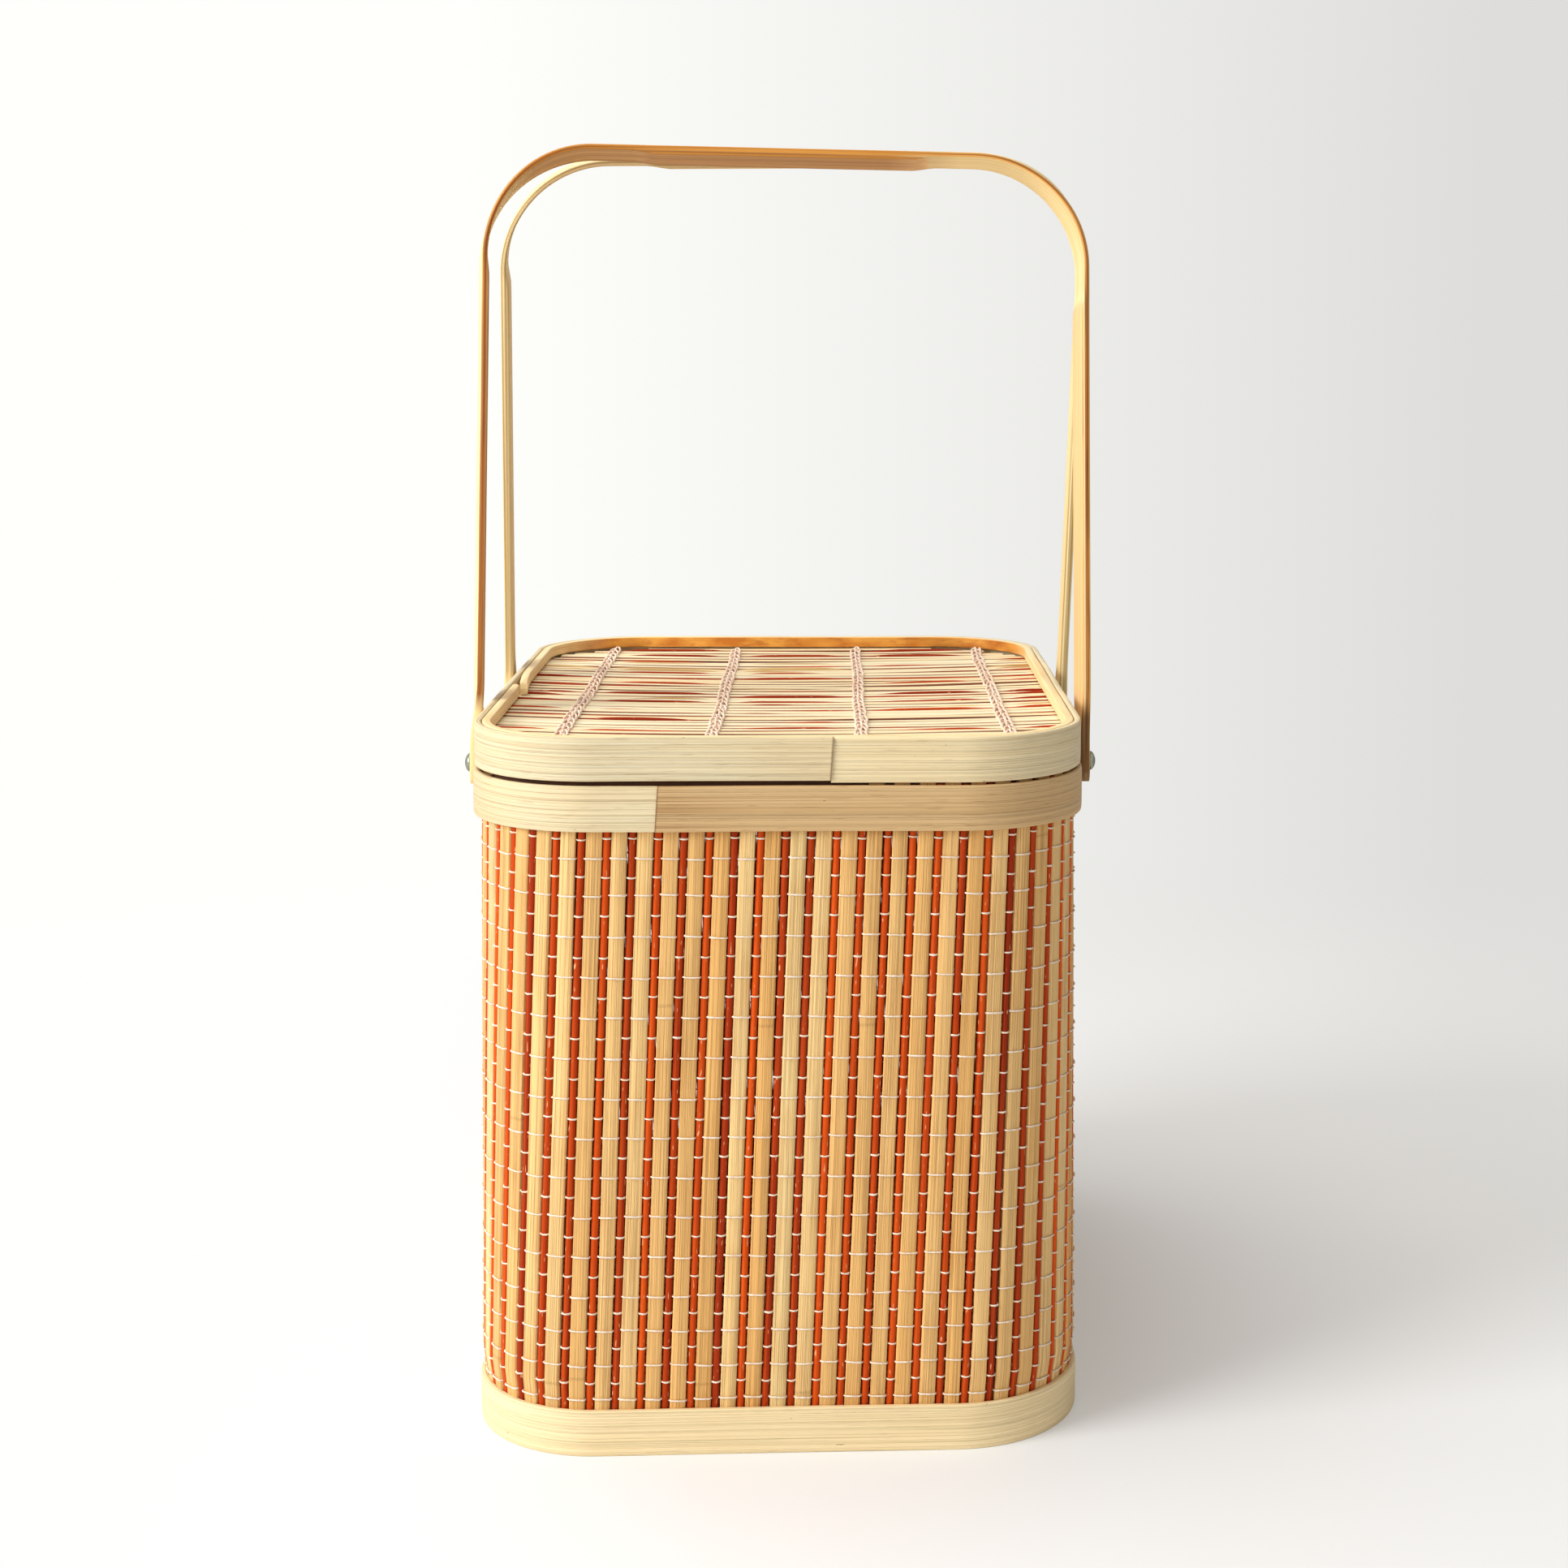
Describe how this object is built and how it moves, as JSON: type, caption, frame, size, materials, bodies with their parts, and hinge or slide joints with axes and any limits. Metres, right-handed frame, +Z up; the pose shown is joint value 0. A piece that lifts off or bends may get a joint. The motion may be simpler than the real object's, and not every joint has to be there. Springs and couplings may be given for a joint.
{
  "type": "bamboo picnic basket",
  "caption": "Rectangular bamboo basket with rounded corners, a lift-off lid with a sunken splint panel, and bent carrying bails that swing on screws at the sides.",
  "frame": {"origin": "on the table, midway under the basket", "axes": "+Z up, +X to the right between the pivots of each bail, -Y to the front"},
  "size_m": [0.2414, 0.29, 0.4674],
  "materials": {
    "pale_bamboo": "satin, bent strip",
    "bamboo_mat": "pale slats with narrow orange-red sticks",
    "bamboo_splints": "pale splints with thin red lines",
    "golden_bamboo": "clear lacquer over streaked bamboo",
    "cotton_thread": "matt cord",
    "steel": "plain steel"
  },
  "bodies": {
    "basket": {"base_outer_hoop": "pale_bamboo", "base_foot_hoop": "pale_bamboo", "bottom_panel": "bamboo_mat", "base_inner_hoop": "pale_bamboo", "floor_batten_left": "golden_bamboo", "floor_batten_right": "golden_bamboo", "woven_wall": "bamboo_mat", "rim_outer_hoop": "pale_bamboo", "rim_inner_hoop": "pale_bamboo", "pivot_screw_front_left": "steel", "spacer_front_left": "steel", "washer_front_left": "steel", "nut_front_left": "steel", "pivot_screw_front_right": "steel", "spacer_front_right": "steel", "washer_front_right": "steel", "nut_front_right": "steel", "pivot_screw_rear_left": "steel", "spacer_rear_left": "steel", "washer_rear_left": "steel", "nut_rear_left": "steel", "pivot_screw_rear_right": "steel", "spacer_rear_right": "steel", "washer_rear_right": "steel", "nut_rear_right": "steel"},
    "lid": {"lid_outer_hoop": "pale_bamboo", "lid_inner_hoop": "pale_bamboo", "lid_seat_hoop": "pale_bamboo", "lid_panel": "bamboo_splints", "lid_stitch_1": "cotton_thread", "lid_stitch_2": "cotton_thread", "lid_stitch_3": "cotton_thread", "lid_stitch_4": "cotton_thread"},
    "front_bail": {"front_bail": "golden_bamboo"},
    "rear_bail": {"rear_bail": "golden_bamboo"}
  },
  "joints": [
    {"name": "lid_lift", "type": "slide", "parent": "basket", "child": "lid", "axis": [0, 0, 1], "range_m": [0, 0.12]},
    {"name": "front_bail_swing", "type": "hinge", "parent": "basket", "child": "front_bail", "pos_m": [0, -0.05, 0.2325], "axis": [1, 0, 0], "range_deg": [0, 161]},
    {"name": "rear_bail_swing", "type": "hinge", "parent": "basket", "child": "rear_bail", "pos_m": [0, 0.05, 0.2325], "axis": [-1, 0, 0], "range_deg": [0, 161]}
  ]
}
